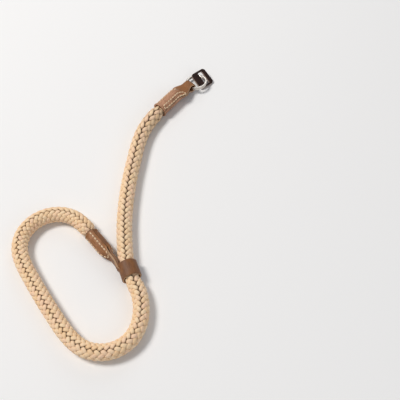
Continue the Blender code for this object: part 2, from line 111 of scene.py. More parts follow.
def ease(x):
    """A smooth step from 0 to 1."""
    x = min(1.0, max(0.0, x))
    return x * x * (3.0 - 2.0 * x)


def ease_between(s, start, end):
    return ease((s - start) / (end - start))


def mix(a, b, share):
    return a + (b - a) * share


def route_point(index, height=0.0):
    """A point of the rope's route, at a height above the surface."""
    x, y = ROUTE_MM[index]
    return Vector((x * MM + LAYOUT_X, y * MM + LAYOUT_Y, height))


def curve_through(points, step):
    """Evenly spaced (place, distance) pairs on a smooth curve through points."""
    ends = [2 * points[0] - points[1]] + points + [2 * points[-1] - points[-2]]
    fine = []
    for p0, p1, p2, p3 in zip(ends, ends[1:], ends[2:], ends[3:]):
        bend = 2 * p0 - 5 * p1 + 4 * p2 - p3
        sway = 3 * p1 - p0 - 3 * p2 + p3
        for k in range(CURVE_STEPS):
            t = k / CURVE_STEPS
            fine.append(0.5 * (2 * p1 + (p2 - p0) * t + bend * t * t + sway * t**3))
    fine.append(points[-1])
    along = [0.0]
    for a, b in zip(fine, fine[1:]):
        along.append(along[-1] + (b - a).length)
    count = round(along[-1] / step)
    spaced, j = [], 0
    for i in range(count + 1):
        want = along[-1] * i / count
        while j < len(along) - 2 and along[j + 1] < want:
            j += 1
        share = min(1.0, (want - along[j]) / (along[j + 1] - along[j]))
        spaced.append((fine[j].lerp(fine[j + 1], share), want))
    return spaced


rope_line = curve_through([route_point(i) for i in range(len(ROUTE_MM))], LINE_STEP)
rope_length = rope_line[-1][1]


def nearest_along(index):
    """How far along the rope a point of its route lies."""
    return min(rope_line, key=lambda spot: (spot[0] - route_point(index)).length)[1]


ring_mouth_at = nearest_along(RING_MOUTH_INDEX)
collar_mouth_at = nearest_along(COLLAR_MOUTH_INDEX)
collar_exit_at = nearest_along(COLLAR_EXIT_INDEX)
noose_mouth_at = nearest_along(NOOSE_MOUTH_INDEX)


def rope_height_and_radius(s):
    """The rope lies on the surface, and is squeezed in its fittings."""
    run = ROPE_SQUEEZE_RUN
    in_ring = 1.0 - ease_between(s, ring_mouth_at, ring_mouth_at + run)
    in_noose = ease_between(s, noose_mouth_at - run, noose_mouth_at)
    entering = ease_between(s, collar_mouth_at - run, collar_mouth_at)
    in_collar = min(entering, 1.0 - ease_between(s, collar_exit_at, collar_exit_at + run))
    height, radius = ROPE_HEIGHT, ROPE_D / 2
    for share, fitting_height, squeezed in (
        (in_ring, RING_POCKET_HEIGHT, RING_POCKET_ROPE_D / 2),
        (in_noose, NOOSE_POCKET_HEIGHT, NOOSE_POCKET_ROPE_D / 2),
        (in_collar, COLLAR_HEIGHT, COLLAR_ROPE_D / 2),
    ):
        height += share * (fitting_height - ROPE_HEIGHT)
        radius += share * (squeezed - ROPE_D / 2)
    return height, radius


def add_object(name, data):
    obj = bpy.data.objects.new(name, data)
    scene.collection.objects.link(obj)
    return obj


def add_mesh(name, verts, faces):
    """A mesh object with its faces pointing outwards, shaded smooth."""
    mesh = bpy.data.meshes.new(name)
    mesh.from_pydata(verts, [], faces)
    bm = bmesh.new()
    bm.from_mesh(mesh)
    bmesh.ops.recalc_face_normals(bm, faces=bm.faces)
    bm.to_mesh(mesh)
    bm.free()
    mesh.shade_smooth()
    return add_object(name, mesh)


def skin(rows, n, ends="capped"):
    """Faces between rings of n points each, with capped, open or joined ends."""
    faces = []
    for i in range(rows if ends == "joined" else rows - 1):
        a, b = i * n, (i + 1) % rows * n
        for k in range(n):
            m = (k + 1) % n
            faces.append((a + k, a + m, b + m, b + k))
    if ends == "capped":
        faces.append(tuple(range(n)))
        faces.append(tuple(range((rows - 1) * n, rows * n)))
    return faces


def remove(*objects):
    for obj in objects:
        bpy.data.objects.remove(obj, do_unlink=True)


def rope_curve():
    """The rope's middle line as a curve whose radius is 1 where it is free."""
    curve = bpy.data.curves.new("rope_line", "CURVE")
    curve.dimensions = "3D"
    curve.twist_mode = "Z_UP"
    spline = curve.splines.new("POLY")
    spline.points.add(len(rope_line) - 1)
    for point, (place, s) in zip(spline.points, rope_line):
        height, radius = rope_height_and_radius(s)
        point.co = (place.x, place.y, height, 1.0)
        point.radius = radius / (ROPE_D / 2)
    return add_object("rope_line", curve)


class Nodes:
    """A node tree, and short ways to add nodes to it."""

    def __init__(self, tree):
        self.tree = tree

    def put(self, socket, value):
        """Feeds a socket with a value, another socket or a node's first output."""
        if isinstance(value, bpy.types.Node):
            value = value.outputs[0]
        if isinstance(value, bpy.types.NodeSocket):
            self.tree.links.new(value, socket)
        elif isinstance(value, tuple) and len(value) == 3 and len(socket.default_value) == 4:
            socket.default_value = (*value, 1.0)
        else:
            socket.default_value = value

    def add(self, kind, settings=None, **sockets):
        """Adds a node, and feeds its sockets: by name, or in_N for the Nth."""
        node = self.tree.nodes.new(kind)
        for key, value in (settings or {}).items():
            setattr(node, key, value)
        for key, value in sockets.items():
            number = key.removeprefix("in_")
            which = int(number) if number.isdigit() else key.replace("_", " ").title()
            self.put(node.inputs[which], value)
        return node

    def math(self, operation, a, b=0.0, c=0.0):
        return self.add("ShaderNodeMath", {"operation": operation}, in_0=a, in_1=b, in_2=c)

    def times(self, a, b, plus=0.0):
        return self.math("MULTIPLY_ADD", a, b, plus)

    def plus(self, a, b):
        return self.math("ADD", a, b)

    def less(self, a, b):
        return self.math("SUBTRACT", a, b)

    def over(self, a, b):
        return self.math("DIVIDE", a, b)


class Tree(Nodes):
    """A Geometry Nodes tree. Its named inputs take their kinds from their values."""

    def __init__(self, name, values):
        super().__init__(bpy.data.node_groups.new(name, "GeometryNodeTree"))
        face = self.tree.interface
        face.new_socket("Geometry", in_out="OUTPUT", socket_type="NodeSocketGeometry")
        face.new_socket("Geometry", in_out="INPUT", socket_type="NodeSocketGeometry")
        self.values = {**values, "Seed": 0}
        self.identifiers = {}
        for label, value in self.values.items():
            kind = {int: "Int", float: "Float"}.get(type(value), "Object")
            item = face.new_socket(label, in_out="INPUT", socket_type="NodeSocket" + kind)
            self.identifiers[label] = item.identifier
        self.source = self.add("NodeGroupInput")
        self.sink = self.add("NodeGroupOutput")

    def given(self, label):
        return self.source.outputs[label]

    def scaled(self, vector, factor):
        return self.add("ShaderNodeVectorMath", {"operation": "SCALE"}, in_0=vector, in_3=factor)

    def summed(self, a, b):
        return self.add("ShaderNodeVectorMath", {"operation": "ADD"}, in_0=a, in_1=b)

    def store(self, geometry, name, value):
        """Keeps a number on each point under a name."""
        settings = {"data_type": "FLOAT", "domain": "POINT"}
        kind = "GeometryNodeStoreNamedAttribute"
        return self.add(kind, settings, geometry=geometry, name=name, value=value)

    def spread(self, points, label, **ways):
        """Sets a given object on points, each with a random tone."""
        tone = self.add("FunctionNodeRandomValue", {"data_type": "FLOAT"}, seed=self.given("Seed"))
        points = self.store(points, "strand_tone", tone.outputs[1])
        shape = self.add("GeometryNodeObjectInfo", object=self.given(label)).outputs["Geometry"]
        return self.add("GeometryNodeInstanceOnPoints", points=points, instance=shape, **ways)

    def finish(self, geometry, material):
        """Ends the tree in Realize Instances and Set Material."""
        real = self.add("GeometryNodeRealizeInstances", in_0=geometry)
        painted = self.add("GeometryNodeSetMaterial", in_0=real, material=material)
        self.put(self.sink.inputs[0], painted)

    def run(self, obj, name, seed):
        """The tree's result on an object, as a new plain mesh object."""
        mod = obj.modifiers.new("tree", "NODES")
        mod.node_group = self.tree
        for label, value in {**self.values, "Seed": seed}.items():
            mod[self.identifiers[label]] = value
        graph = bpy.context.evaluated_depsgraph_get()
        graph.update()
        mesh = bpy.data.meshes.new_from_object(obj.evaluated_get(graph))
        mesh.name = name
        obj.modifiers.remove(mod)
        return add_object(name, mesh)


class Paint(Nodes):
    """A Principled material, and short ways to add its nodes."""

    def __init__(self, name):
        self.material = bpy.data.materials.new(name)
        self.material.use_nodes = True
        super().__init__(self.material.node_tree)
        self.shader = self.tree.nodes["Principled BSDF"]
        self.place = self.add("ShaderNodeTexCoord").outputs["Object"]

    def set(self, label, value):
        self.put(self.shader.inputs[label], value)

    def share(self, name):
        """A number kept on the mesh under a name."""
        return self.add("ShaderNodeAttribute", {"attribute_name": name}).outputs["Fac"]

    def steps(self, factor, stops):
        """Colours, or shades of grey, spread over a factor."""
        node = self.add("ShaderNodeValToRGB", in_0=factor)
        ramp = node.color_ramp
        while len(ramp.elements) < len(stops):
            ramp.elements.new(0.5)
        for element, (at, colour) in zip(ramp.elements, stops):
            element.position = at
            shade = colour if isinstance(colour, tuple) else (colour,) * 3
            element.color = (*shade, 1.0)
        return node

    def blend(self, share, a, b, mode="MIX"):
        settings = {"data_type": "RGBA", "blend_type": mode}
        return self.add("ShaderNodeMix", settings, in_0=share, in_6=a, in_7=b).outputs[2]

    def noise(self, where, scale, detail=2.0, roughness=0.5):
        sizes = {"scale": scale, "detail": detail, "roughness": roughness}
        return self.add("ShaderNodeTexNoise", in_0=where, **sizes)

    def cells(self, feature, scale):
        node = self.add("ShaderNodeTexVoronoi", {"feature": feature}, vector=self.place, scale=scale)
        return node.outputs["Distance"]

    def scaled(self, where, scale):
        return self.add("ShaderNodeMapping", vector=where, scale=scale)

    def bump(self, height, strength, distance, normal=None):
        node = self.add("ShaderNodeBump", height=height, strength=strength, distance=distance)
        if normal is not None:
            self.put(node.inputs["Normal"], normal)
        return node


RIBS = 12
RIB_PITCH = 3.85 * MM
FLOAT_LEAN = math.radians(43.0)
FLOAT_HALF_LENGTH = 3.15 * MM
FLOAT_WIDTH = 2.72 * MM
FLOAT_THICK = 1.9 * MM
FLOAT_DIVE = 1.6 * MM
FLOAT_ANGLES = [math.radians(a) for a in (0, 30, 60, 90, 120, 150, 180, 270)]
FLOAT_STATIONS = 7
FLOAT_EVEN = 0.7
FLOAT_SQUARE = 0.72
FLOAT_TAPER = 4.5
FLOAT_TIP = 0.12
FLOAT_THIN = 0.6
FLOAT_BEND = 2.6
YARN_VALLEY = 0.12
CORE_R = 3.3 * MM
CORE_SIDES = 16
CORE_ZIGZAG = 0.7
RING_END_STRETCH = 1.0
STRETCH_POWER = 9.0
ZIGZAG_TURN = math.radians(6.0)
ZIGZAG_OPEN = 0.66 * MM
ZIGZAG_SHORT = -0.10
ZIGZAG_IN_LOOP = 0.68
ZIGZAG_FALL = 2.2
ZIGZAG_SHARP = 2.4
LOOP_BLEND = 0.05
BRAID_SEED = 11


def strand_float():
    """One stretch of a strand on the outside, flat: up, over and under again.

    X runs across it, Y along it and Z outwards, 0 at the rope's outside. Two
    yarns lie side by side in it, with a shallow valley between them.
    """
    sides = len(FLOAT_ANGLES)
    verts, spots = [], []
    for i in range(FLOAT_STATIONS + 1):
        u = mix(-math.cos(math.pi * i / FLOAT_STATIONS), 2.0 * i / FLOAT_STATIONS - 1.0, FLOAT_EVEN)
        taper = max(FLOAT_TIP, 1.0 - abs(u) ** FLOAT_TAPER)
        middle = -FLOAT_THICK / 2 - FLOAT_DIVE * abs(u) ** FLOAT_BEND
        for angle in FLOAT_ANGLES:
            across = math.copysign(abs(math.cos(angle)) ** FLOAT_SQUARE, math.cos(angle))
            up = math.copysign(abs(math.sin(angle)) ** FLOAT_SQUARE, math.sin(angle))
            if angle == math.pi / 2:
                up = 1.0 - YARN_VALLEY
            side = FLOAT_WIDTH / 2 * taper * across
            rise = middle + FLOAT_THICK / 2 * mix(1.0, taper, FLOAT_THIN) * up
            verts.append((side, u * FLOAT_HALF_LENGTH, rise))
            spots.append((across * FLOAT_WIDTH / 2 / MM, u * FLOAT_HALF_LENGTH / MM))
    obj = add_mesh("strand_float", verts, skin(FLOAT_STATIONS + 1, sides))
    layer = obj.data.uv_layers.new(name="UVMap")
    for loop in obj.data.loops:
        layer.data[loop.index].uv = spots[loop.vertex_index]
    return obj


def zigzag_strength(tree, share):
    """The zigzag is open along the tail, and closes up somewhat in the loop."""
    start, calm = tree.given("Loop Start"), tree.given("Zigzag In Loop")
    end = tree.plus(start, LOOP_BLEND)
    return tree.add("ShaderNodeMapRange", in_0=share, in_1=start, in_2=end, in_3=1.0, in_4=calm)


def braid_tree(values, material):
    """Strand floats on a flat lattice, wrapped round a curve and along it."""
    tree = Tree("braid", values)
    given, times, plus, less, over = tree.given, tree.times, tree.plus, tree.less, tree.over
    line, ribs, radius = given("Geometry"), given("Ribs"), given("Rope Radius")
    zigzag_at = plus(given("Zigzag Turn"), math.pi)

    length = tree.add("GeometryNodeCurveLength", in_0=line)
    rows = tree.math("FLOOR", over(length, given("Pitch")))
    pitch = over(length, rows)
    points = tree.add("GeometryNodePoints", in_0=times(rows, ribs))
    index = tree.add("GeometryNodeInputIndex")
    rib = tree.math("MODULO", index, ribs)
    row = tree.math("FLOOR", over(index, ribs))
    odd = tree.math("MODULO", rib, 2.0)
    step = over(2.0 * math.pi, ribs)
    angle = times(plus(rib, 0.5), step, given("Zigzag Turn"))
    from_zigzag = less(angle, zigzag_at)
    beyond = times(step, -0.5, tree.math("ABSOLUTE", from_zigzag))
    near = tree.math("EXPONENT", times(beyond, -ZIGZAG_FALL))
    near = times(near, zigzag_strength(tree, over(times(row, pitch), length)))
    push = times(tree.math("SIGN", from_zigzag), given("Zigzag Open"))
    flat_x = times(angle, radius, times(push, near))
    flat_y = times(times(odd, 0.5, row), pitch)
    flat = tree.add("ShaderNodeCombineXYZ", in_0=flat_x, in_1=flat_y)
    longer = less(1.0, times(near, given("Zigzag Short")))
    size = tree.add("ShaderNodeCombineXYZ", in_0=1.0, in_1=longer, in_2=1.0)
    placed = tree.add("GeometryNodeSetPosition", geometry=points, position=flat)
    lean = times(times(odd, -2.0, 1.0), given("Lean"))
    turn = tree.add("ShaderNodeCombineXYZ", in_2=lean)
    laid = tree.spread(placed, "Strand Float", rotation=turn, scale=size)
    lattice = tree.add("GeometryNodeRealizeInstances", in_0=laid)

    here = tree.add("ShaderNodeSeparateXYZ", in_0=tree.add("GeometryNodeInputPosition"))
    across, along, out = here.outputs
    around, share = over(across, radius), over(along, length)
    # Depth below the outside, nearness to the zigzag and the ring end's opening are kept on the points;
    # the cotton reads them to paint shade between the strands.
    deep = tree.store(lattice, "depth", over(times(out, -1.0), given("Float Dive")))
    aside = times(tree.math("ABSOLUTE", less(around, zigzag_at)), ZIGZAG_SHARP)
    zigzag = tree.math("EXPONENT", times(tree.math("POWER", aside, 2.0), -1.0))
    deep = tree.store(deep, "zigzag", times(zigzag, zigzag_strength(tree, share)))
    left = tree.math("POWER", tree.math("MAXIMUM", less(1.0, share), 0.0), STRETCH_POWER)
    deep = tree.store(deep, "opened", left)
    pull = over(given("Ring End Stretch"), STRETCH_POWER)
    drawn = over(times(less(1.0, left), pull, share), plus(pull, 1.0))
    whole = {"mode": "FACTOR", "data_type": "FLOAT", "use_all_curves": True}
    free = tree.add("GeometryNodeInputRadius")
    at = tree.add("GeometryNodeSampleCurve", whole, curves=line, factor=drawn, value=free)
    tangent, normal = at.outputs["Tangent"], at.outputs["Normal"]
    down = tree.add("ShaderNodeVectorMath", {"operation": "CROSS_PRODUCT"}, in_0=tangent, in_1=normal)
    outwards = tree.scaled(normal, tree.math("SINE", around))
    spoke = tree.summed(outwards, tree.scaled(down, tree.math("COSINE", around)))
    reach = times(plus(radius, out), at.outputs["Value"])
    place = tree.summed(at.outputs["Position"], tree.scaled(spoke, reach))
    wrapped = tree.add("GeometryNodeSetPosition", geometry=deep, position=place)
    # Wrapping the flat lattice turns it inside out.
    turned = tree.add("GeometryNodeFlipFaces", in_0=wrapped)
    smooth = tree.add("GeometryNodeSetShadeSmooth", in_0=turned)

    ring = tree.add("GeometryNodeCurvePrimitiveCircle", resolution=CORE_SIDES, radius=given("Core Radius"))
    core = tree.add("GeometryNodeCurveToMesh", curve=line, profile_curve=ring, fill_caps=True)
    # The core is marked deep and partly near the zigzag, so the cotton paints it dark: painted shade where
    # it shows between the strands.
    core = tree.store(tree.store(core, "depth", 1.0), "zigzag", CORE_ZIGZAG)
    both = tree.add("GeometryNodeJoinGeometry", in_0=core)
    tree.put(both.inputs[0], smooth)
    tree.finish(both, material)
    return tree


COTTON_LIGHT = (1.0, 0.79, 0.54)
COTTON_WARM = (0.93, 0.65, 0.39)
COTTON_PINK = (0.97, 0.68, 0.49)
COTTON_PAINTED_SHADE = (0.075, 0.021, 0.003)
COTTON_SHADED = (0.82, 0.70, 0.55)
COTTON_PATCH_SCALE = 130.0
COTTON_FIBRES = (6.0, 0.7, 1.0)
COTTON_STREAKY = 0.7
ZIGZAG_SHADE_DEEPENS = 0.14
OPENED_SHADE_DEEPENS = 0.42
OPENED_SHADE_STRENGTH = 0.7


def cotton_paint():
    """Soft spun yarn: fine fibres along each strand, with painted shade between strands."""
    paint = Paint("braided_cotton")
    spot = paint.add("ShaderNodeUVMap", {"uv_map": "UVMap"})
    fibres = paint.noise(paint.scaled(spot, COTTON_FIBRES), 1.0, 3.0, 0.6)
    patches = paint.noise(paint.place, COTTON_PATCH_SCALE)
    tones = [(0.0, COTTON_WARM), (0.5, COTTON_LIGHT), (1.0, COTTON_PINK)]
    colour = paint.steps(paint.share("strand_tone"), tones)
    colour = paint.blend(paint.times(patches, 0.5), colour, COTTON_WARM)
    streaks = paint.steps(fibres, [(0.28, COTTON_SHADED), (0.54, (1.0, 1.0, 1.0))])
    colour = paint.blend(COTTON_STREAKY, colour, streaks, "MULTIPLY")
    # Painted shade: the colour is darkened toward the dark gap colour where the cotton lies deep between
    # strands, more along the zigzag and where the strands open at the ring end.
    zigzag = paint.share("zigzag")
    opened = paint.times(paint.share("opened"), paint.less(1.0, zigzag))
    depth = paint.times(zigzag, ZIGZAG_SHADE_DEEPENS, paint.share("depth"))
    depth = paint.times(opened, OPENED_SHADE_DEEPENS, depth)
    painted_shade = paint.steps(depth, [(0.28, 0.0), (0.58, 0.38), (0.88, 1.0)])
    shade_strength = paint.times(opened, OPENED_SHADE_STRENGTH, paint.times(zigzag, 0.5, 0.5))
    paint.set("Base Color", paint.blend(paint.times(painted_shade, shade_strength), colour, COTTON_PAINTED_SHADE))
    paint.set("Roughness", 0.65)
    paint.set("Specular IOR Level", 0.25)
    paint.set("Sheen Weight", 0.06)
    paint.set("Normal", paint.bump(fibres, 0.5, 0.12 * MM))
    return paint.material


rope_path = rope_curve()
one_float = strand_float()
braid_values = {
    "Strand Float": one_float,
    "Ribs": RIBS,
    "Pitch": RIB_PITCH,
    "Lean": FLOAT_LEAN,
    "Rope Radius": ROPE_D / 2,
    "Core Radius": CORE_R,
    "Ring End Stretch": RING_END_STRETCH,
    "Zigzag Turn": ZIGZAG_TURN,
    "Zigzag Open": ZIGZAG_OPEN,
    "Zigzag Short": ZIGZAG_SHORT,
    "Zigzag In Loop": ZIGZAG_IN_LOOP,
    "Loop Start": collar_mouth_at / rope_length,
    "Float Dive": FLOAT_DIVE,
}
rope = braid_tree(braid_values, cotton_paint()).run(rope_path, "braided_rope", BRAID_SEED)
remove(rope_path, one_float)
rope_points = [(place.x, place.y, rope_height_and_radius(s)[0]) for place, s in rope_line]
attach(rope, "strap")
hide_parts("rope")
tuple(rope_points[0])

# The ring-end piece is one strip of tan leather. It is folded round the split
# ring, and its two halves are cupped round the rope's end and sewn to it.

MOUTH_FLARE_RUN = 1.6 * MM
RING_FLATTEN_RUN = 8.4 * MM
RING_TAB_RUN = 6.8 * MM
RING_TAB_LEAD = 2.4 * MM
RING_TAB_WIDTH = 11.6 * MM
RING_FOLD_WIDTH = 6.8 * MM
RING_EYE_OPEN_RUN = 4.5 * MM
RING_TAB_TURN = math.radians(-11.0)
RING_POCKET_ROLL = math.radians(18.6)
RING_EYE_ROLL = math.radians(8.0)
RING_EYE_CLEAR = 0.3 * MM
RING_LINE_R = 6.9 * MM
RING_WIRE_WIDE = 1.2 * MM
RING_WIRE_THICK = 1.0 * MM
RING_TURN_GAP = 0.08 * MM
RING_STACK = 2 * RING_WIRE_THICK + RING_TURN_GAP
RING_BOW = (RING_LINE_R - math.sqrt(RING_LINE_R**2 - (RING_FOLD_WIDTH / 2) ** 2)) / 2
RING_HINGE_R = RING_LINE_R - RING_BOW
EYE_R = math.hypot(RING_WIRE_WIDE / 2, RING_STACK / 2) + RING_BOW + GAP + LEATHER / 2
EYE_HEIGHT = EYE_R + LEATHER / 2 + RING_EYE_CLEAR + RING_FOLD_WIDTH / 2 * math.sin(RING_EYE_ROLL)

STRIP_COLUMNS = 36
STRIP_STEP = 0.6 * MM
STRIP_EDGE = 0.35 * MM
EDGE_STEPS = 4
EDGE_TURNS = [math.pi / 2 * k / EDGE_STEPS for k in range(EDGE_STEPS + 1)]
EDGE_ARC = [(math.cos(a), math.sin(a)) for a in EDGE_TURNS]
FOLD_STEPS = 24
HAND_WAVE = 0.10 * MM
HAND_WAVE_SCALE = 260.0
LOWEST = 0.02 * MM
SEAM_FILL = 0.13 * MM
SEAM_START = 1.3 * MM
SEAM_STEP = 0.5 * MM
STITCH_SINK = 0.24 * MM
STITCH_SINK_WIDE = 0.65 * MM
RING_SEAM_TIP = 22.0 * MM
RING_SEAM_ROW_END = 19.0 * MM
RING_SEAM_INNER = math.radians(48.0) * RING_POCKET_R
RING_SEAM_OUTER = math.radians(79.0) * RING_POCKET_R
RING_SEAM_ROW = math.radians(-13.0) * RING_POCKET_R


def side_frame(heading, roll):
    """Lateral and normal directions of a strip that runs along a heading."""
    right = Vector((heading.y, -heading.x, 0.0))
    up = Vector((0.0, 0.0, 1.0))
    lateral = math.cos(roll) * right + math.sin(roll) * up
    normal = -math.sin(roll) * right + math.cos(roll) * up
    return lateral, normal


class Station:
    """One cross-section of a strip: a middle, two directions and a bend.

    It may be thinner than the leather, and filled up on its inner side.
    """

    def __init__(self, s, middle, lateral, normal, width, bend=0.0, lift=0.0):
        self.s = s
        self.middle = middle
        self.lateral = lateral
        self.normal = normal
        self.width = width
        self.bend = bend
        self.thin = 1.0
        self.fill = 0.0
        self.rise = lift + GAP / 2 + LEATHER / 2
        if bend > 1.0:
            edge = bend * width / 2
            self.rise += (1.0 - math.cos(edge)) * (1.0 / bend - LEATHER / 2)

    def moved(self, step):
        """The same cross-section a step further on."""
        other = copy.copy(self)
        other.middle = self.middle + step
        return other

    def at(self, v, out=0.0):
        """The point v across the strip, and out of its middle surface."""
        angle = self.bend * v
        across, drop = v, 0.0
        if self.bend > 1.0:
            across = math.sin(angle) / self.bend
            drop = (1.0 - math.cos(angle)) / self.bend
        outward = self.outward(v)
        return self.middle + self.lateral * across + self.normal * (self.rise - drop) + outward * out

    def outward(self, v):
        angle = self.bend * v
        return self.lateral * math.sin(angle) + self.normal * math.cos(angle)


def cup(s, flat, pocket_r, flare, flat_width):
    """(radius, width) of a half which is cupped round the rope, and then flat."""
    radius = pocket_r + flare * (1.0 - ease(s / MOUTH_FLARE_RUN))
    return radius, mix(math.pi * radius - GAP, flat_width, flat)


class RingEnd:
    """The path, widths and bends of the ring-end strip."""

    mouth = route_point(RING_MOUTH_INDEX)
    heading = (route_point(0) - mouth).normalized()
    rope_end = (route_point(0) - mouth).length + GAP
    tab_start = rope_end + RING_FLATTEN_RUN
    eye_at = tab_start + RING_TAB_RUN

    @classmethod
    def middle(cls, s):
        """(place, heading) at a distance from the mouth."""
        place = cls.mouth + cls.heading * min(s, cls.rope_end)
        heading = cls.heading.copy()
        rest = max(0.0, s - cls.rope_end) / CURVE_STEPS
        for _ in range(CURVE_STEPS):
            turn = RING_TAB_TURN * rest / (cls.eye_at - cls.rope_end)
            heading.rotate(Matrix.Rotation(turn, 3, "Z"))
            place = place + heading * rest
        place.z = mix(RING_POCKET_HEIGHT, EYE_HEIGHT, ease_between(s, cls.rope_end, cls.eye_at))
        return place, heading

    @classmethod
    def station(cls, s, side):
        """A station of the upper half, side 1, or the lower one, side -1."""
        place, heading = cls.middle(s)
        flat = ease_between(s, cls.rope_end, cls.tab_start)
        radius, width = cup(s, flat, RING_POCKET_R, RING_MOUTH_FLARE, RING_TAB_WIDTH)
        narrow = ease_between(s, cls.tab_start - RING_TAB_LEAD, cls.eye_at)
        width = mix(width, RING_FOLD_WIDTH, narrow)
        lateral, normal = side_frame(heading, mix(RING_POCKET_ROLL, RING_EYE_ROLL, flat))
        lift = ease_between(s, cls.eye_at - RING_EYE_OPEN_RUN, cls.eye_at)
        lift *= EYE_R - (LEATHER + GAP) / 2
        station = Station(s, place, lateral, normal * side, width, (1.0 - flat) / radius, lift)
        opens = ease_between(s, cls.eye_at - 2 * RING_EYE_OPEN_RUN, cls.eye_at - RING_EYE_OPEN_RUN)
        station.fill = SEAM_FILL * flat * flat * (1.0 - opens)
        return station

    @classmethod
    def fold(cls, angle):
        """A station of the fold round the ring, 0 above and pi below."""
        place, heading = cls.middle(cls.eye_at)
        lateral, normal = side_frame(heading, RING_EYE_ROLL)
        out = heading * math.sin(angle) + normal * math.cos(angle)
        return Station(cls.eye_at, place, lateral, out, RING_FOLD_WIDTH, 0.0, EYE_R - (LEATHER + GAP) / 2)


def spread(start, end, step):
    """Evenly spaced values from start to end, about a step apart."""
    count = max(1, math.ceil((end - start) / step))
    return [mix(start, end, i / count) for i in range(count + 1)]


def strip_marks(end):
    """Distances along a strip, closer together in its flared mouth."""
    return spread(0.0, MOUTH_FLARE_RUN, STRIP_STEP / 2) + spread(MOUTH_FLARE_RUN, end, STRIP_STEP)[1:]


def row_marks(v, start, end):
    """(distance, offset) marks of a straight row of stitches."""
    return [(s, v) for s in spread(start, end, SEAM_STEP)]


def loop_marks(v0, v1, start, tip, closed=False):
    """Marks of a row that runs up at v0, turns round a tip and comes down at v1.

    A closed row turns round at its start too, and meets itself.
    """
    half, middle = (v1 - v0) / 2, (v0 + v1) / 2
    turns = spread(0.0, math.pi, SEAM_STEP / abs(half))[1:]
    turn_at = tip - abs(half)
    first = start + abs(half) if closed else start
    marks = row_marks(v0, first, turn_at)
    for a in turns[:-1]:
        marks.append((turn_at + abs(half) * math.sin(a), middle - half * math.cos(a)))
    marks += row_marks(v1, first, turn_at)[::-1]
    if closed:
        for a in turns:
            marks.append((first - abs(half) * math.sin(a), middle + half * math.cos(a)))
    return marks


def strip_section(width):
    """The upper half of a strip's section, edge to edge: (v, height, rawness)."""
    half, thick, edge = width / 2, LEATHER / 2, STRIP_EDGE
    left = []
    for out, up in EDGE_ARC[:-1]:
        left.append((edge - half - edge * out, thick - edge + edge * up, out**0.5))
    inner = half - edge
    top = [(mix(-inner, inner, k / STRIP_COLUMNS), thick, 0.0) for k in range(STRIP_COLUMNS + 1)]
    right = [(-v, h, raw) for v, h, raw in reversed(left)]
    return left + top + right


def stitch_dip(s, v, marks):
    """How far the skin sinks at a spot under the pull of the stitches."""
    away = min((math.hypot(s - a, v - b) for a, b in marks), default=1.0)
    return STITCH_SINK * math.exp(-((away / STITCH_SINK_WIDE) ** 2))


NOTES = ("raw_edge", "worn", "along", "across")


def strip_shell(stations, seams, wear_and_shade_at):
    """A closed sheet with round edges over stations: verts, faces and notes.

    Its skin waves a little, and sinks along its rows of stitches. The notes
    are the NOTES of each vertex, which the leather's material reads.
    """
    rows = [(station, 0.0) for station in stations]
    first, last = stations[0], stations[-1]
    back = (first.middle - stations[1].middle).normalized()
    ahead = (last.middle - stations[-2].middle).normalized()
    for cos, sin in EDGE_ARC[1:-1]:
        reach, inset = STRIP_EDGE * sin, STRIP_EDGE * (1.0 - cos)
        rows.insert(0, (first.moved(back * reach), inset))
        rows.append((last.moved(ahead * reach), inset))
    marks = sum(seams, [])
    verts, notes = [], []
    travelled = 0.0
    for i, (station, inset) in enumerate(rows):
        if i:
            travelled += (station.middle - rows[i - 1][0].middle).length
        upper = strip_section(station.width)
        loop = upper + [(v, -h, raw) for v, h, raw in reversed(upper)]
        shrink = station.thin * (1.0 - inset / (LEATHER / 2))
        for v, h, raw in loop:
            place = station.at(v)
            out = h * shrink + HAND_WAVE * noise.noise(place * HAND_WAVE_SCALE)
            out -= stitch_dip(station.s, v, marks) if h > 0.0 else station.fill
            verts.append(place + station.outward(v) * out)
            rawness = max(raw, inset / STRIP_EDGE)
            notes.append((rawness, wear_and_shade_at(station.s), travelled / MM, v / MM))
    n = len(loop)
    faces = skin(len(rows), n, "open")
    for first in (0, (len(rows) - 1) * n):
        for k in range(n // 2 - 1):
            faces.append((first + k, first + k + 1, first + n - 2 - k, first + n - 1 - k))
    return verts, faces, notes


def leather_object(name, shells, material):
    """One object from several (verts, faces, notes) shells.

    It is pressed flat where the strap lies on it.
    """
    verts, faces, notes = [], [], []
    for shell_verts, shell_faces, shell_notes in shells:
        first = len(verts)
        verts += [Vector((x, y, max(z, LOWEST))) for x, y, z in shell_verts]
        faces += [tuple(first + i for i in face) for face in shell_faces]
        notes += shell_notes
    obj = add_mesh(name, verts, faces)
    for k, note in enumerate(NOTES):
        layer = obj.data.attributes.new(note, "FLOAT", "POINT")
        layer.data.foreach_set("value", [values[k] for values in notes])
    obj.data.materials.append(material)
    return obj


LEATHER_UMBER = (0.215, 0.102, 0.053)
LEATHER_TAN = (0.320, 0.130, 0.038)
LEATHER_ROSE = (0.610, 0.325, 0.200)
LEATHER_DARK = (0.110, 0.040, 0.015)
LEATHER_RAW = (0.480, 0.300, 0.175)
LEATHER_GLOSS = 0.40
CLOUD_SCALE = 170.0
CLOUD_WEAR = 0.9
STREAK_SCALE = (2.2, 0.22, 1.0)
PORE_SCALE = 2600.0
CREASE_SCALE = 1100.0
CREASE_DARK = 0.28
FUZZ_SCALE = 1800.0
SLEEVE_WEAR = 0.95
TAB_WEAR_AND_SHADE = 0.35


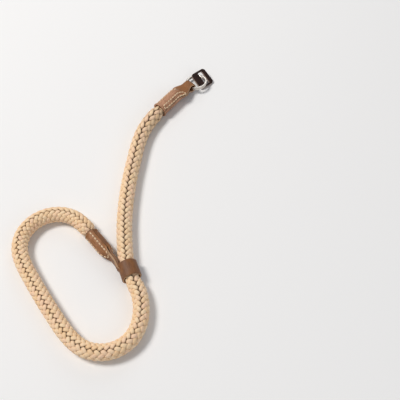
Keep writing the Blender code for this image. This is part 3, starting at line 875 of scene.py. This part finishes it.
def leather_paint(name, wear_and_shade_colours, deep, raw):
    """Smooth dyed leather: paler where worn, darker where shade is painted in, streaky, with pores and cut
    edges.
    """
    paint = Paint(name)
    clouds = paint.noise(paint.place, CLOUD_SCALE, 3.0)
    worn = paint.times(paint.less(clouds, 0.5), CLOUD_WEAR, paint.share("worn"))
    colour = paint.steps(worn, wear_and_shade_colours)
    spot = paint.add("ShaderNodeCombineXYZ", in_0=paint.share("across"), in_1=paint.share("along"))
    streaks = paint.noise(paint.scaled(spot, STREAK_SCALE), 1.0, 4.0, 0.65)
    colour = paint.blend(paint.steps(streaks, [(0.36, 0.55), (0.56, 0.0)]), colour, deep)
    pore_dots = paint.steps(paint.cells("F1", PORE_SCALE), [(0.0, 0.0), (0.35, 1.0)])
    creases = paint.cells("DISTANCE_TO_EDGE", CREASE_SCALE)
    crease_lines = paint.steps(creases, [(0.0, 0.0), (0.09, 1.0)])
    colour = paint.blend(paint.times(crease_lines, -CREASE_DARK, CREASE_DARK), colour, deep)
    fuzz = paint.noise(paint.place, FUZZ_SCALE)
    edge = paint.steps(paint.share("raw_edge"), [(0.55, 0.0), (0.92, 1.0)])
    edge = paint.times(edge, paint.times(fuzz, 0.9, 0.45))
    paint.set("Base Color", paint.blend(edge, colour, raw))
    paint.set("Roughness", paint.times(clouds, 0.25, LEATHER_GLOSS))
    paint.set("Specular IOR Level", 0.28)
    grain = paint.times(streaks, 1.2, paint.times(pore_dots, 0.35, crease_lines))
    paint.set("Normal", paint.bump(grain, 0.4, 0.06 * MM, paint.bump(fuzz, 0.25, 0.04 * MM)))
    return paint.material


def ring_end_wear_and_shade(s):
    """The sleeve is rubbed pale, and the tab is a fuller brown, partly its own tone and partly painted
    shade.
    """
    return mix(SLEEVE_WEAR, TAB_WEAR_AND_SHADE, ease_between(s, RingEnd.rope_end, RingEnd.tab_start))


def ring_end_piece(material):
    marks = strip_marks(RingEnd.eye_at)
    stations = [RingEnd.station(s, 1) for s in marks]
    stations += [RingEnd.fold(math.pi * k / FOLD_STEPS) for k in range(1, FOLD_STEPS)]
    stations += [RingEnd.station(s, -1) for s in reversed(marks)]
    shell = strip_shell(stations, ring_seams[1], ring_end_wear_and_shade)
    return leather_object("ring_end_strip", [shell], material)


ring_seams = {}
for side in (1, -1):
    ring_seams[side] = [
        loop_marks(RING_SEAM_INNER * side, RING_SEAM_OUTER * side, SEAM_START, RING_SEAM_TIP, True),
        row_marks(RING_SEAM_ROW * side, SEAM_START, RING_SEAM_ROW_END),
    ]
tan_colours = [(0.0, LEATHER_UMBER), (0.4, LEATHER_TAN), (1.0, LEATHER_ROSE)]
tan_leather = leather_paint("tan_leather", tan_colours, LEATHER_DARK, LEATHER_RAW)
ring_end = ring_end_piece(tan_leather)
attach(ring_end, "strap")
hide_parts("ring_end_leather")

# The ring-end piece is sewn with thick cream thread. On each half one row
# runs along one side, and another makes a long narrow ring on the other side.

STITCH_PITCH = 2.3 * MM
STITCH_LONG = 2.25 * MM
STITCH_THICK = 0.98 * MM
STITCH_RISE = 0.26 * MM
STITCH_DIP = 0.9
STITCH_END_THIN = 0.45
STITCH_SIDES = 8
STITCH_STATIONS = 5
RING_STITCH_SEED = 3
THREAD_CREAM = (0.90, 0.70, 0.48)
THREAD_SHADE = (0.62, 0.42, 0.25)
PLY_SCALE = 420.0


def one_stitch():
    """A stitch along Y: a round thread that dips into its holes at both ends."""
    verts = []
    for i in range(STITCH_STATIONS + 1):
        u = 2.0 * i / STITCH_STATIONS - 1.0
        thick = STITCH_THICK / 2 * (1.0 - STITCH_END_THIN * abs(u) ** 3)
        middle = STITCH_RISE - STITCH_THICK * STITCH_DIP * abs(u) ** 4
        for k in range(STITCH_SIDES):
            a = 2 * math.pi * k / STITCH_SIDES
            verts.append((thick * math.cos(a), u * STITCH_LONG / 2, middle + thick * math.sin(a)))
    return add_mesh("one_stitch", verts, skin(STITCH_STATIONS + 1, STITCH_SIDES))


def seam_guides(name, piece, seams):
    """Lines of edges along the rows of both halves, which keep the outward way."""
    places, ways, edges = [], [], []
    for side in (1, -1):
        for marks in seams[side]:
            first = len(places)
            for s, v in marks:
                station = piece.station(s, side)
                places.append(station.at(v, LEATHER / 2 - STITCH_SINK))
                ways.append(station.outward(v))
            edges += [(i, i + 1) for i in range(first, len(places) - 1)]
    mesh = bpy.data.meshes.new(name)
    mesh.from_pydata(places, edges, [])
    layer = mesh.attributes.new("outward", "FLOAT_VECTOR", "POINT")
    for item, way in zip(layer.data, ways):
        item.vector = way
    return add_object(name, mesh)


def stitch_tree(values, material):
    """Stitches set end to end along guide lines, each lying on its surface."""
    tree = Tree("stitches", values)
    line = tree.add("GeometryNodeMeshToCurve", in_0=tree.given("Geometry"))
    pitch = tree.given("Pitch")
    spaced = tree.add("GeometryNodeResampleCurve", {"mode": "LENGTH"}, in_0=line, length=pitch)
    tangent = tree.add("GeometryNodeInputTangent")
    outward = tree.add("GeometryNodeInputNamedAttribute", {"data_type": "FLOAT_VECTOR"}, name="outward")
    along = tree.add("FunctionNodeAlignRotationToVector", {"axis": "Y"}, vector=tangent)
    turns = {"axis": "Z", "pivot_axis": "Y"}
    facing = tree.add("FunctionNodeAlignRotationToVector", turns, rotation=along, vector=outward)
    tree.finish(tree.spread(spaced, "Stitch", rotation=facing), material)
    return tree


def thread_paint():
    """Waxed thread: two plies twisted together, a little darker between."""
    paint = Paint("cream_thread")
    bands = {"wave_type": "BANDS", "bands_direction": "DIAGONAL"}
    plies = paint.add("ShaderNodeTexWave", bands, vector=paint.place, scale=PLY_SCALE).outputs["Fac"]
    lines = paint.steps(plies, [(0.15, THREAD_SHADE), (0.55, THREAD_CREAM)])
    tone = paint.times(paint.share("strand_tone"), 0.25)
    paint.set("Base Color", paint.blend(tone, lines, THREAD_SHADE))
    paint.set("Roughness", 0.55)
    paint.set("Normal", paint.bump(plies, 0.5, 0.06 * MM))
    return paint.material


stitch = one_stitch()
sewing = stitch_tree({"Stitch": stitch, "Pitch": STITCH_PITCH}, thread_paint())


def sew(name, piece, seams, seed):
    """The stitches of a piece, given the rows of its halves, 1 and -1.

    They are pressed flat where the strap lies on them.
    """
    guides = seam_guides(name + "_guides", piece, seams)
    made = sewing.run(guides, name, seed)
    remove(guides)
    made.data.shade_smooth()
    for vertex in made.data.vertices:
        vertex.co.z = max(vertex.co.z, LOWEST)
    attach(made, "strap")
    return made


sew("ring_end_stitches", RingEnd, ring_seams, RING_STITCH_SEED)

# The noose-end piece is tan leather too: two halves cupped round the rope's
# other end, which run together into a neck and then into a short collar.
# The collar slides on the rope, and so closes the noose.

NOOSE_FLATTEN_RUN = 8.4 * MM
NOOSE_SEAT_IN = 1.0 * MM
NOOSE_NECK_WIDTH = 8.2 * MM
NOOSE_END_WIDTH = 6.0 * MM
NOOSE_POCKET_ROLL = math.radians(-67.0)
NOOSE_END_ROLL = math.radians(-90.0)
COLLAR_LENGTH = 10.6 * MM
COLLAR_EDGE = 0.45 * MM
COLLAR_SIDES = 120
COLLAR_STEP = 0.4 * MM
COLLAR_WEAR = 0.12
COLLAR_WAVE_SCALE = 220.0
NECK_WEAR = 0.55
INNER_EDGE_SHADED_RAW = 0.6
NOOSE_SEAM_TIP = 20.0 * MM
NOOSE_SEAM_INNER = math.radians(-55.0) * NOOSE_POCKET_R
NOOSE_SEAM_OUTER = math.radians(15.0) * NOOSE_POCKET_R
NECK_SKIVE_RUN = 3.0 * MM
NECK_SKIVE = 0.65 * MM
NECK_THIN = 0.6
LAP_RUN = 5.0 * MM
LAP_SINK = 1.0 * MM
LAP_WIDTH = 4.6 * MM
LAP_THIN = 0.35
LAP_STEPS = 10


class NooseEnd:
    """The path, widths and bends of the noose-end halves."""

    mouth = route_point(NOOSE_MOUTH_INDEX)
    heading = (route_point(-1) - mouth).normalized()
    rope_end = (route_point(-1) - mouth).length + GAP
    neck_start = rope_end + NOOSE_FLATTEN_RUN
    collar_mouth = route_point(COLLAR_MOUTH_INDEX, COLLAR_HEIGHT)
    collar_exit = route_point(COLLAR_EXIT_INDEX, COLLAR_HEIGHT)
    collar_axis = (collar_exit - collar_mouth).normalized()
    beside = Vector((collar_axis.y, -collar_axis.x, 0.0))
    straight_end = mouth + heading * rope_end
    seat = collar_mouth + collar_axis * NOOSE_SEAT_IN + beside * (COLLAR_R - LEATHER / 2)
    neck_run = (seat - straight_end).to_2d().length
    end = rope_end + neck_run

    @classmethod
    def middle(cls, s):
        """(place, heading): straight, then a bend into the collar's wall."""
        place = cls.mouth + cls.heading * min(s, cls.rope_end)
        heading = cls.heading
        t = max(0.0, s - cls.rope_end) / cls.neck_run
        if t > 0.0:
            a, d = cls.straight_end, cls.seat
            b = a + cls.heading * cls.neck_run / 3
            c = d - cls.collar_axis * cls.neck_run / 3
            u = 1.0 - t
            place = u**3 * a + 3 * u * u * t * b + 3 * u * t * t * c + t**3 * d
            heading = u * u * (b - a) + 2 * u * t * (c - b) + t * t * (d - c)
            heading = Vector((heading.x, heading.y, 0.0)).normalized()
        place.z = mix(NOOSE_POCKET_HEIGHT, COLLAR_HEIGHT, ease(t))
        return place, heading

    @classmethod
    def station(cls, s, side):
        place, heading = cls.middle(s)
        flat = ease_between(s, cls.rope_end, cls.neck_start)
        radius, width = cup(s, flat, NOOSE_POCKET_R, NOOSE_MOUTH_FLARE, NOOSE_NECK_WIDTH)
        width = mix(width, NOOSE_END_WIDTH, ease_between(s, cls.neck_start, cls.end))
        lateral, normal = side_frame(heading, mix(NOOSE_POCKET_ROLL, NOOSE_END_ROLL, flat))
        station = Station(s, place, lateral, normal * side, width, (1.0 - flat) / radius)
        skived = ease_between(s, cls.end - NECK_SKIVE_RUN, cls.end)
        station.fill = SEAM_FILL * flat * flat * (1.0 - skived)
        if side < 0:
            station.rise -= NECK_SKIVE * skived
            station.thin = mix(1.0, NECK_THIN, skived)
        return station

    @classmethod
    def lap(cls, share):
        """A station of the outer half where it laps onto the collar and thins out."""
        lateral, normal = side_frame(cls.collar_axis, NOOSE_END_ROLL)
        place = cls.seat + cls.collar_axis * LAP_RUN * share
        width = mix(NOOSE_END_WIDTH, LAP_WIDTH, share)
        station = Station(cls.end, place, lateral, normal, width)
        station.bend = ease(share * 2.0) / COLLAR_R
        station.rise -= LAP_SINK * ease(share)
        station.thin = mix(1.0, LAP_THIN, share)
        return station


def collar_shell():
    """A short tube with round edges: verts, faces and notes.

    Its section runs along the outside, round one edge, back inside and round.
    """
    start, axis = NooseEnd.collar_mouth, NooseEnd.collar_axis
    up = Vector((0.0, 0.0, 1.0))
    across = axis.cross(up).normalized()
    edge, far, thick = COLLAR_EDGE, COLLAR_LENGTH - COLLAR_EDGE, LEATHER / 2
    wall_r = COLLAR_R - thick
    run = spread(edge, far, COLLAR_STEP)
    bend = EDGE_ARC[-2::-1] + [(out, -up) for out, up in EDGE_ARC[1:-1]]
    profile = [(t, COLLAR_R, 0.0) for t in run]
    profile += [(far + edge * out, wall_r + thick * up, out) for out, up in bend]
    profile += [(t, COLLAR_BORE_R, 0.0) for t in reversed(run)]
    profile += [(edge - edge * out, wall_r - thick * up, out) for out, up in bend]
    verts, notes = [], []
    for k in range(COLLAR_SIDES):
        turn = 2 * math.pi * k / COLLAR_SIDES
        out = up * math.cos(turn) + across * math.sin(turn)
        for t, r, raw in profile:
            place = start + axis * t + out * r
            verts.append(place + out * HAND_WAVE * noise.noise(place * COLLAR_WAVE_SCALE))
            notes.append((raw, COLLAR_WEAR, t / MM, COLLAR_R * abs(turn - math.pi) / MM))
    return verts, skin(COLLAR_SIDES, len(profile), "joined"), notes


def noose_end_wear(s):
    """A mid brown, which darkens toward the collar."""
    return mix(NECK_WEAR, COLLAR_WEAR, ease_between(s, NooseEnd.rope_end, NooseEnd.end))


def noose_end_piece(material):
    marks = strip_marks(NooseEnd.end)
    outer = [NooseEnd.station(s, 1) for s in marks]
    outer += [NooseEnd.lap(k / LAP_STEPS) for k in range(1, LAP_STEPS + 1)]
    inner = [NooseEnd.station(s, -1) for s in marks]
    shells = [collar_shell()]
    shells.append(strip_shell(outer, noose_seams[1], noose_end_wear))
    # The inner half is painted with the collar's darker brown and a dimmer cut edge: painted shade on the
    # inner half.
    verts, faces, notes = strip_shell(inner, noose_seams[-1], lambda s: COLLAR_WEAR)
    shells.append((verts, faces, [(raw * INNER_EDGE_SHADED_RAW, *rest) for raw, *rest in notes]))
    return leather_object("noose_end_strip", shells, material)


noose_seams = {}
for side in (1, -1):
    noose_seams[side] = [
        loop_marks(NOOSE_SEAM_INNER * side, NOOSE_SEAM_OUTER * side, SEAM_START, NOOSE_SEAM_TIP)
    ]
noose_end = noose_end_piece(tan_leather)
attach(noose_end, "strap")
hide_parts("noose_end_leather")

# The noose-end piece is sewn like the ring-end one, with the same thread: one
# row on each half, which turns back in a round tip.

NOOSE_STITCH_SEED = 5

sew("noose_end_stitches", NooseEnd, noose_seams, NOOSE_STITCH_SEED)
remove(stitch)

# The split ring is bent from flat nickel-plated spring wire, two turns lying
# on each other, with a jog where one turn steps over to the other.

RING_JOG = math.radians(42.0)
RING_JOG_AT = math.radians(196.0)
RING_PITCH_DOWN = math.radians(2.8)
RING_STEPS = 300
WIRE_CORNER = 0.28 * MM
WIRE_CORNER_STEPS = 4
WIRE_CREASE = math.radians(50.0)
STEEL = (0.80, 0.75, 0.69)
STEEL_DULL = (0.50, 0.46, 0.42)
DRAWN_SCALE = 2400.0
HAZE_SCALE = 420.0


class RingPlace:
    """The ring's hinge axis, centre and directions at rest."""

    eye, heading = RingEnd.middle(RingEnd.eye_at)
    lateral, upright = side_frame(heading, RING_EYE_ROLL)
    away = (heading * math.cos(RING_PITCH_DOWN) - upright * math.sin(RING_PITCH_DOWN)).normalized()
    normal = lateral.cross(away).normalized()
    centre = eye + away * RING_HINGE_R


def rounded_outline(x0, x1, y0, y1, corner, steps, span_steps=1):
    """A rectangle's outline with round corners, anticlockwise."""
    points = []
    corners = (
        (x1 - corner, y1 - corner, 0),
        (x0 + corner, y1 - corner, 1),
        (x0 + corner, y0 + corner, 2),
        (x1 - corner, y0 + corner, 3),
    )
    for cx, cy, quarter in corners:
        for k in range(steps + 1):
            a = math.pi / 2 * (quarter + k / steps)
            points.append((cx + corner * math.cos(a), cy + corner * math.sin(a)))
    filled = []
    for i, (x, y) in enumerate(points):
        nx, ny = points[(i + 1) % len(points)]
        count = span_steps if i % (steps + 1) == steps else 1
        for k in range(count):
            filled.append((mix(x, nx, k / count), mix(y, ny, k / count)))
    return filled


def split_ring_piece():
    pitch = RING_WIRE_THICK + RING_TURN_GAP
    wide, thick = RING_WIRE_WIDE / 2, RING_WIRE_THICK / 2
    section = rounded_outline(-wide, wide, -thick, thick, WIRE_CORNER, WIRE_CORNER_STEPS)
    verts = []
    for i in range(RING_STEPS + 1):
        turn = mix(RING_JOG, 4 * math.pi, i / RING_STEPS)
        level = mix(-pitch / 2, pitch / 2, ease_between(turn, 2 * math.pi, 2 * math.pi + RING_JOG))
        angle = turn + RING_JOG_AT
        out = RingPlace.away * math.cos(angle) + RingPlace.lateral * math.sin(angle)
        for r, z in section:
            place = RingPlace.centre + out * (RING_LINE_R + r)
            verts.append(place + RingPlace.normal * (z + level))
    obj = add_mesh("split_ring_wire", verts, skin(RING_STEPS + 1, len(section)))
    obj.data.set_sharp_from_angle(angle=WIRE_CREASE)
    return obj


def steel_paint():
    """Nickel plate with fine drawing marks, a little dulled by use."""
    paint = Paint("nickel_steel")
    marks = paint.noise(paint.place, DRAWN_SCALE)
    haze = paint.noise(paint.place, HAZE_SCALE)
    paint.set("Base Color", paint.blend(paint.times(haze, 0.6), STEEL, STEEL_DULL))
    paint.set("Metallic", 1.0)
    paint.set("Roughness", paint.times(haze, 0.22, 0.10))
    paint.set("Normal", paint.bump(marks, 0.12, 0.03 * MM))
    return paint.material


split_ring = split_ring_piece()
split_ring.data.materials.append(steel_paint())
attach(split_ring, "ring")
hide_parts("split_ring")

# The guard pad is a patch of dark leather that keeps the ring off whatever
# the strap is tied to. The ring passes through its slot, and its cut rim is
# pale.

GUARD_FAR = 4.6 * MM
GUARD_EYE_GAP = 2.8 * MM
GUARD_WIDTH = 13.0 * MM
GUARD_THICK = 1.6 * MM
GUARD_CORNER = 2.2 * MM
GUARD_SLOT_END_EASE = 1.5 * MM
GUARD_SLOT_SIDE_EASE = 0.85 * MM
GUARD_SLOT_CORNER = 0.9 * MM
GUARD_REST = 0.1 * MM
GUARD_RIM = 0.40 * MM
GUARD_PUFF = 0.10 * MM
GUARD_RINGS = 8
GUARD_CORNER_STEPS = 8
GUARD_SPAN_STEPS = 10
GUARD_WEAR = 0.5
GUARD_BROWN = (0.026, 0.009, 0.006)
GUARD_RUBBED = (0.060, 0.020, 0.013)
GUARD_BLACK = (0.012, 0.007, 0.006)
GUARD_RAW = (0.420, 0.300, 0.240)


def guard_piece(material):
    """A plate on an outline with a slot, its rims round and its faces full."""
    half_width, half_thick = GUARD_WIDTH / 2, GUARD_THICK / 2
    far = RingPlace.centre + RingPlace.away * RING_LINE_R
    lean = RING_EYE_ROLL + math.asin((far.z - half_thick - GUARD_REST) / half_width)
    turned = Matrix.Rotation(lean, 3, RingPlace.away)
    across, normal = turned @ RingPlace.lateral, turned @ RingPlace.normal
    near = RING_LINE_R + RING_HINGE_R - EYE_R - LEATHER / 2 - GUARD_EYE_GAP
    reach = (RING_STACK / 2 + half_thick * math.cos(lean)) / math.sin(lean)
    bow = RING_LINE_R - math.sqrt(RING_LINE_R**2 - (reach * math.cos(lean)) ** 2)
    half_long = reach + GUARD_SLOT_END_EASE
    half_wide = (RING_WIRE_WIDE + bow) / 2 + GUARD_SLOT_SIDE_EASE
    steps = (GUARD_CORNER_STEPS, GUARD_SPAN_STEPS)

    def outlines(rim):
        """The outer outline drawn in, and the slot's let out, by a rim."""
        y = half_width - rim
        outer = rounded_outline(rim - near, GUARD_FAR - rim, -y, y, GUARD_CORNER - rim, *steps)
        x, y = half_wide + rim, half_long + rim
        slot = rounded_outline(-bow / 2 - x, -bow / 2 + x, -y, y, GUARD_SLOT_CORNER + rim, *steps)
        return outer, slot

    loops = []
    for face in (1, -1):
        outer_arcs, inner_rings, slot_arcs = [], [], []
        for out, up in EDGE_ARC:
            outer, slot = outlines(GUARD_RIM * (1.0 - out))
            height = half_thick - GUARD_RIM + GUARD_RIM * up
            outer_arcs.append((outer, height * face, out))
            slot_arcs.append((slot, height * face, out))
        for k in range(1, GUARD_RINGS):
            share = k / GUARD_RINGS
            ring = [(mix(ox, sx, share), mix(oy, sy, share)) for (ox, oy), (sx, sy) in zip(outer, slot)]
            height = half_thick + GUARD_PUFF * math.sin(math.pi * share)
            inner_rings.append((ring, height * face, 0.0))
        loops += (outer_arcs + inner_rings + slot_arcs[::-1])[::face]
    verts, notes = [], []
    for outline, height, raw in loops:
        for x, y in outline:
            verts.append(far + RingPlace.away * x + across * y + normal * height)
            notes.append((raw, GUARD_WEAR, x / MM, y / MM))
    faces = skin(len(loops), len(outer), "joined")
    return leather_object("guard_patch", [(verts, faces, notes)], material)


guard_colours = [(0.0, GUARD_BLACK), (0.5, GUARD_BROWN), (1.0, GUARD_RUBBED)]
guard = guard_piece(leather_paint("dark_leather", guard_colours, GUARD_BLACK, GUARD_RAW))
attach(guard, "guard")
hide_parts("guard_pad")

# The studio: a pale floor and pale surroundings, a large soft lamp up to the
# left, a weaker one to the right, and a third behind.

FLOOR_SIZE = 6.0
FLOOR_FADE_FROM = 0.40
FLOOR_FADE_TO = 1.10
FLOOR_WHITE = (0.93, 0.93, 0.93)
SKY_WHITE = (0.93, 0.95, 1.0)
SKY_STRENGTH = 0.26


def soft_lamp(name, place, size, power, colour):
    data = bpy.data.lights.new(name, "AREA")
    data.shape = "DISK"
    data.size = size
    data.energy = power
    data.color = colour
    lamp = add_object(name, data)
    lamp.location = place
    lamp.rotation_euler = (-Vector(place)).to_track_quat("-Z", "Y").to_euler()


def build_floor():
    """A pale floor, which fades into the white surroundings far off."""
    half = FLOOR_SIZE / 2
    mesh = bpy.data.meshes.new("floor")
    corners = [(-half, -half, 0.0), (half, -half, 0.0), (half, half, 0.0), (-half, half, 0.0)]
    mesh.from_pydata(corners, [], [(0, 1, 2, 3)])
    floor = add_object("floor", mesh)
    paint = Paint("pale_floor")
    away = paint.add("ShaderNodeVectorMath", {"operation": "LENGTH"}, in_0=paint.place).outputs["Value"]
    fade = paint.add("ShaderNodeMapRange", {"interpolation_type": "SMOOTHSTEP"}, in_0=away)
    for k, value in enumerate((FLOOR_FADE_FROM, FLOOR_FADE_TO, 1.0, 0.0), start=1):
        paint.put(fade.inputs[k], value)
    paint.set("Alpha", fade)
    paint.set("Base Color", FLOOR_WHITE)
    paint.set("Roughness", 0.9)
    paint.set("Specular IOR Level", 0.0)
    mesh.materials.append(paint.material)


def build_world():
    """Soft light all round, which the eye sees as plain white."""
    world = bpy.data.worlds.new("studio")
    world.use_nodes = True
    world.node_tree.nodes.clear()
    sky = Nodes(world.node_tree)
    lit = sky.add("ShaderNodeBackground", color=SKY_WHITE, strength=SKY_STRENGTH)
    seen = sky.add("ShaderNodeBackground", color=(1.0, 1.0, 1.0))
    chosen = sky.add("ShaderNodeMixShader", in_1=lit, in_2=seen)
    sky.put(chosen.inputs[0], sky.add("ShaderNodeLightPath").outputs["Is Camera Ray"])
    sky.add("ShaderNodeOutputWorld", surface=chosen)
    scene.world = world


soft_lamp("key_lamp", (-0.80, 0.18, 1.32), size=0.53, power=16.5, colour=(1.0, 0.97, 0.93))
soft_lamp("fill_lamp", (0.60, -0.55, 0.55), size=0.60, power=1.2, colour=(0.95, 0.97, 1.0))
soft_lamp("back_lamp", (0.15, 0.75, 0.45), size=0.50, power=1.0, colour=(1.0, 1.0, 1.0))
build_floor()
build_world()
